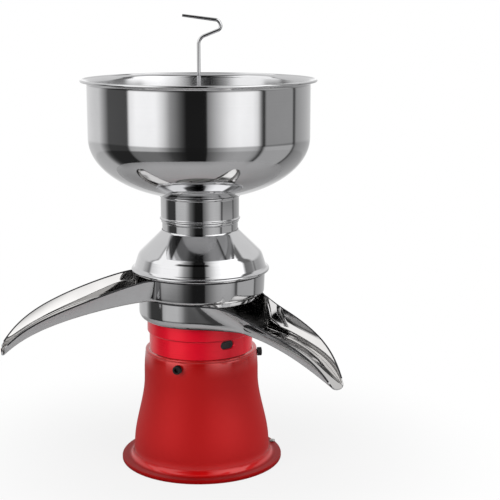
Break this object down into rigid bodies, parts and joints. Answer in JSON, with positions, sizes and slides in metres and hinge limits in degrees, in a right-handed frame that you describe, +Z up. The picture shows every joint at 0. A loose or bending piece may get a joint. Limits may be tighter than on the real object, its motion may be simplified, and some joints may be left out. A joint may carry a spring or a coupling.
{
  "type": "cream separator",
  "caption": "Electric centrifugal cream separator: round red motor base, polished cream and skim receivers with drooping open spouts, float chamber and wide milk bowl with a wire-handled valve.",
  "frame": {"origin": "on the drum's axis, at the underside of the base", "axes": "+Z up along the drum's axis; -Y is the front, where the picture was taken from; +X is the picture's right"},
  "size_m": [0.368, 0.306, 0.5176],
  "materials": {
    "stainless": "mirror-polished stainless steel",
    "red_shell": "satin red anodised",
    "red_housing": "turned and anodised bright red",
    "black_steel": "blackened",
    "zinc_steel": "zinc plated",
    "bare_steel": "bare ground steel",
    "aluminium": "turned",
    "copper": "enamelled copper",
    "rubber": "matt black",
    "black_plastic": "moulded"
  },
  "bodies": {
    "base": {"base_shell": "red_shell", "drum_housing": "red_housing", "housing_screw_1": "black_steel", "housing_screw_2": "black_steel", "housing_screw_3": "black_steel", "bottom_plate": "zinc_steel", "bottom_screw_1": "zinc_steel", "bottom_screw_2": "zinc_steel", "bottom_screw_3": "zinc_steel", "earth_screw": "zinc_steel", "switch_body": "black_plastic", "cord_gland": "rubber", "stator_core": "bare_steel", "field_coil_left": "copper", "field_coil_right": "copper", "upper_bracket": "aluminium", "lower_bracket": "aluminium", "upper_bearing": "bare_steel", "lower_bearing": "bare_steel", "brush_front": "black_plastic", "brush_back": "black_plastic", "brush_holder_front": "black_plastic", "brush_holder_back": "black_plastic", "motor_mount_1": "rubber", "motor_mount_2": "rubber", "motor_mount_3": "rubber", "motor_screw_1": "zinc_steel", "motor_screw_2": "zinc_steel", "motor_screw_3": "zinc_steel"},
    "rotor": {"motor_shaft": "bare_steel", "armature_core": "bare_steel", "commutator": "copper", "cooling_fan": "black_plastic", "drum_base": "aluminium", "drum_seal": "rubber", "disc_holder": "aluminium", "separating_disc_1": "aluminium", "separating_disc_2": "aluminium", "separating_disc_3": "aluminium", "separating_disc_4": "aluminium", "separating_disc_5": "aluminium", "separating_disc_6": "aluminium", "separating_disc_7": "aluminium", "top_disc": "aluminium", "drum_cover": "aluminium", "drum_nut": "stainless"},
    "skim_receiver": {"skim_receiver": "stainless"},
    "cream_receiver": {"cream_receiver": "stainless"},
    "float_chamber": {"float_chamber": "stainless", "chamber_cone": "stainless"},
    "float": {"float": "aluminium"},
    "bowl": {"bowl": "stainless", "bowl_collar": "stainless", "outlet_seat": "stainless"},
    "valve": {"valve_plug": "stainless", "valve_rod": "stainless"},
    "switch_rocker": {"switch_rocker": "black_plastic"}
  },
  "joints": [
    {"name": "drum_spin", "type": "hinge", "parent": "base", "child": "rotor", "pos_m": [0, 0, 0.15], "axis": [0, 0, 1], "continuous": true},
    {"name": "skim_receiver_turn", "type": "hinge", "parent": "base", "child": "skim_receiver", "pos_m": [0, 0, 0.1708], "axis": [0, 0, 1], "continuous": true},
    {"name": "cream_receiver_turn", "type": "hinge", "parent": "skim_receiver", "child": "cream_receiver", "pos_m": [0, 0, 0.2006], "axis": [0, 0, 1], "continuous": true},
    {"name": "float_chamber_lift", "type": "slide", "parent": "cream_receiver", "child": "float_chamber", "axis": [0, 0, 1], "range_m": [0, 0.08]},
    {"name": "float_rise", "type": "slide", "parent": "float_chamber", "child": "float", "axis": [0, 0, 1], "range_m": [0, 0.006]},
    {"name": "bowl_lift", "type": "slide", "parent": "float_chamber", "child": "bowl", "axis": [0, 0, 1], "range_m": [0, 0.1]},
    {"name": "valve_turn", "type": "hinge", "parent": "bowl", "child": "valve", "pos_m": [0, 0, 0.328], "axis": [0, 0, 1], "range_deg": [0, 90]},
    {"name": "switch_rock", "type": "hinge", "parent": "base", "child": "switch_rocker", "pos_m": [0, 0.06844, 0.091], "axis": [1, 0, 0], "range_deg": [0, 14]}
  ]
}
